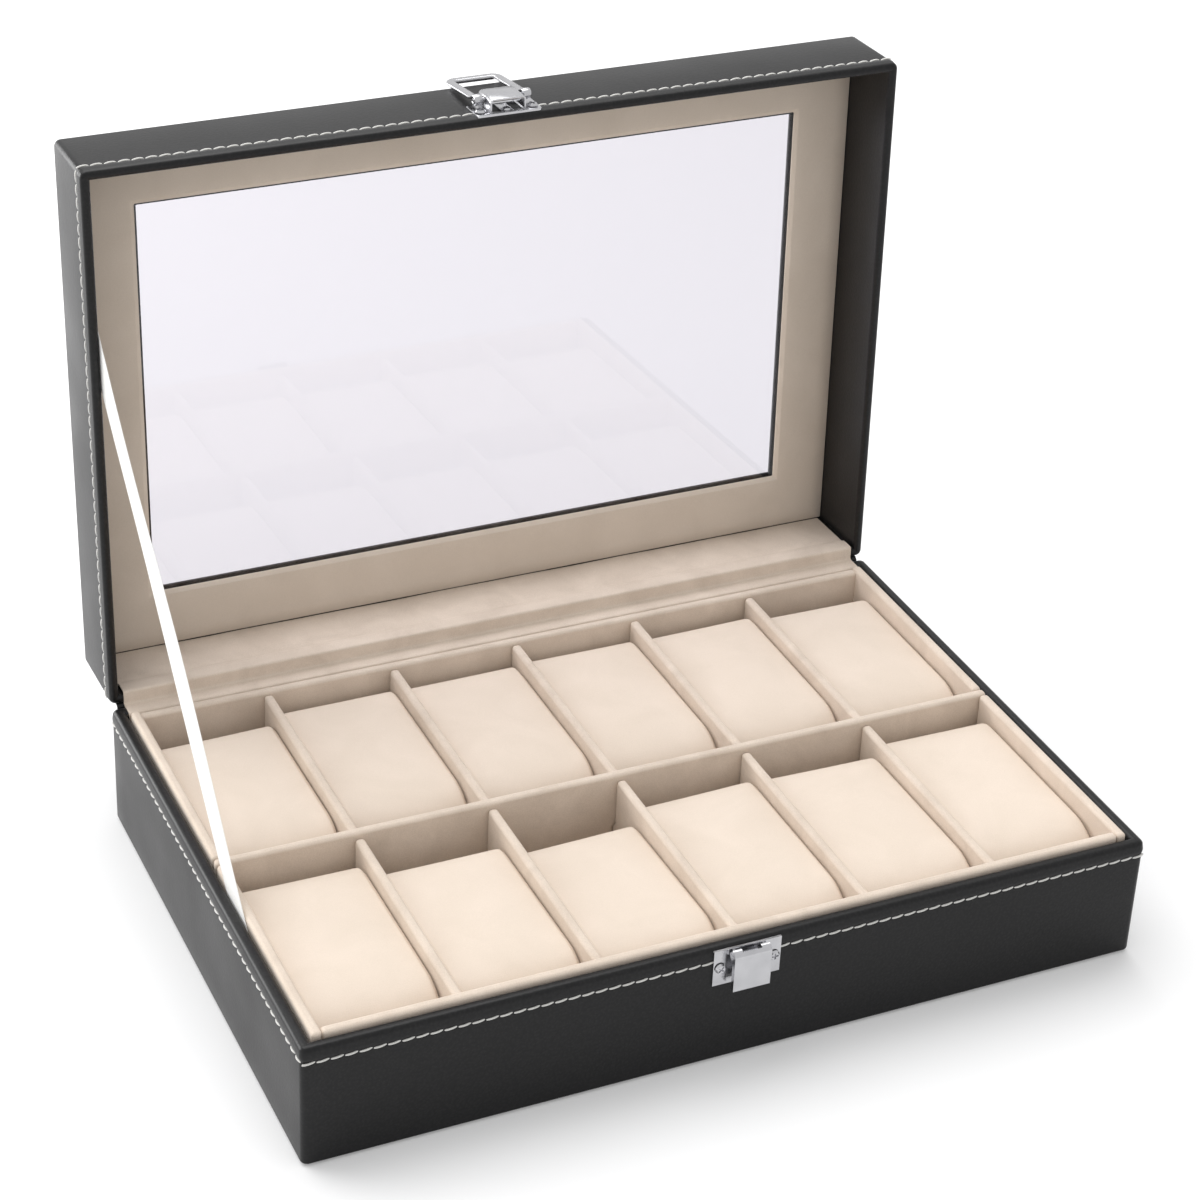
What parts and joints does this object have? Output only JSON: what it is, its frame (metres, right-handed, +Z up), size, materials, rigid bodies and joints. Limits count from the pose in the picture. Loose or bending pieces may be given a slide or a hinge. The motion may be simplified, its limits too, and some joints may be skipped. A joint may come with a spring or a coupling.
{
  "type": "watch box",
  "caption": "Leather-covered watch box with a hinged glazed lid, velvet tray of lift-out watch pillows, stay ribbon and a hasp latch.",
  "frame": {"origin": "centre of the underside of the base, on the surface it stands on", "axes": "+X to the box's right, along its width; +Y from front to hinge; +Z up"},
  "size_m": [0.3008, 0.2488, 0.2518],
  "materials": {
    "black_leather": "fine grain, low sheen",
    "beige_velvet": "short velvet pile",
    "pillow_velvet": "short velvet pile, lightly padded",
    "black_felt": "pressed felt",
    "white_thread": "twisted thread",
    "white_ribbon": "satin weave",
    "clear_pane": "clear, polished",
    "fibreboard": "raw board",
    "bright_nickel": "bright plated",
    "spring_steel": "drawn wire"
  },
  "bodies": {
    "base": {"base_bottom": "fibreboard", "base_front_wall": "fibreboard", "base_back_wall": "fibreboard", "base_left_wall": "fibreboard", "base_right_wall": "fibreboard", "base_cover": "black_leather", "base_felt": "black_felt", "base_stitching": "white_thread", "tray_floor": "beige_velvet", "tray_front_liner": "beige_velvet", "tray_back_liner": "beige_velvet", "tray_left_liner": "beige_velvet", "tray_right_liner": "beige_velvet", "long_divider": "beige_velvet", "cross_divider_1": "beige_velvet", "cross_divider_2": "beige_velvet", "cross_divider_3": "beige_velvet", "cross_divider_4": "beige_velvet", "cross_divider_5": "beige_velvet", "hinge_lining": "beige_velvet", "hinge_strip": "black_leather", "stay_ribbon": "white_ribbon", "catch_plate": "bright_nickel", "catch_pin": "bright_nickel", "catch_spring": "spring_steel", "catch_screws": "bright_nickel"},
    "lid": {"lid_front_wall": "fibreboard", "lid_back_wall": "fibreboard", "lid_left_wall": "fibreboard", "lid_right_wall": "fibreboard", "lid_frame_board": "fibreboard", "lid_cover": "black_leather", "lid_stitching": "white_thread", "window_pane": "clear_pane", "velvet_panel": "beige_velvet", "hasp_plate": "bright_nickel", "hasp_pin": "bright_nickel", "hasp_rivet": "bright_nickel", "hasp_screws": "bright_nickel"},
    "loop": {"hasp_loop": "bright_nickel"},
    "flap": {"catch_flap": "bright_nickel"},
    "pillow_front_1": {"pillow_front_1": "pillow_velvet"},
    "pillow_front_2": {"pillow_front_2": "pillow_velvet"},
    "pillow_front_3": {"pillow_front_3": "pillow_velvet"},
    "pillow_front_4": {"pillow_front_4": "pillow_velvet"},
    "pillow_front_5": {"pillow_front_5": "pillow_velvet"},
    "pillow_front_6": {"pillow_front_6": "pillow_velvet"},
    "pillow_back_1": {"pillow_back_1": "pillow_velvet"},
    "pillow_back_2": {"pillow_back_2": "pillow_velvet"},
    "pillow_back_3": {"pillow_back_3": "pillow_velvet"},
    "pillow_back_4": {"pillow_back_4": "pillow_velvet"},
    "pillow_back_5": {"pillow_back_5": "pillow_velvet"},
    "pillow_back_6": {"pillow_back_6": "pillow_velvet"}
  },
  "joints": [
    {"name": "lid_hinge", "type": "hinge", "parent": "base", "child": "lid", "pos_m": [0, 0.1004, 0.0462], "axis": [-1, 0, 0], "range_deg": [-92, 0], "deforming": ["hinge_lining", "hinge_strip", "stay_ribbon"]},
    {"name": "loop_hinge", "type": "hinge", "parent": "lid", "child": "loop", "pos_m": [0, 0.11631, 0.24977], "axis": [-1, 0, 0], "range_deg": [-187, 0]},
    {"name": "flap_press", "type": "hinge", "parent": "base", "child": "flap", "pos_m": [0, -0.1026, 0.0434], "axis": [1, 0, 0], "range_deg": [0, 6], "stiffness_Nm_per_rad": 0.05},
    {"name": "pillow_front_1_lift", "type": "slide", "parent": "base", "child": "pillow_front_1", "axis": [0, 0, 1], "range_m": [0, 0.05]},
    {"name": "pillow_front_2_lift", "type": "slide", "parent": "base", "child": "pillow_front_2", "axis": [0, 0, 1], "range_m": [0, 0.05]},
    {"name": "pillow_front_3_lift", "type": "slide", "parent": "base", "child": "pillow_front_3", "axis": [0, 0, 1], "range_m": [0, 0.05]},
    {"name": "pillow_front_4_lift", "type": "slide", "parent": "base", "child": "pillow_front_4", "axis": [0, 0, 1], "range_m": [0, 0.05]},
    {"name": "pillow_front_5_lift", "type": "slide", "parent": "base", "child": "pillow_front_5", "axis": [0, 0, 1], "range_m": [0, 0.05]},
    {"name": "pillow_front_6_lift", "type": "slide", "parent": "base", "child": "pillow_front_6", "axis": [0, 0, 1], "range_m": [0, 0.05]},
    {"name": "pillow_back_1_lift", "type": "slide", "parent": "base", "child": "pillow_back_1", "axis": [0, 0, 1], "range_m": [0, 0.05]},
    {"name": "pillow_back_2_lift", "type": "slide", "parent": "base", "child": "pillow_back_2", "axis": [0, 0, 1], "range_m": [0, 0.05]},
    {"name": "pillow_back_3_lift", "type": "slide", "parent": "base", "child": "pillow_back_3", "axis": [0, 0, 1], "range_m": [0, 0.05]},
    {"name": "pillow_back_4_lift", "type": "slide", "parent": "base", "child": "pillow_back_4", "axis": [0, 0, 1], "range_m": [0, 0.05]},
    {"name": "pillow_back_5_lift", "type": "slide", "parent": "base", "child": "pillow_back_5", "axis": [0, 0, 1], "range_m": [0, 0.05]},
    {"name": "pillow_back_6_lift", "type": "slide", "parent": "base", "child": "pillow_back_6", "axis": [0, 0, 1], "range_m": [0, 0.05]}
  ]
}
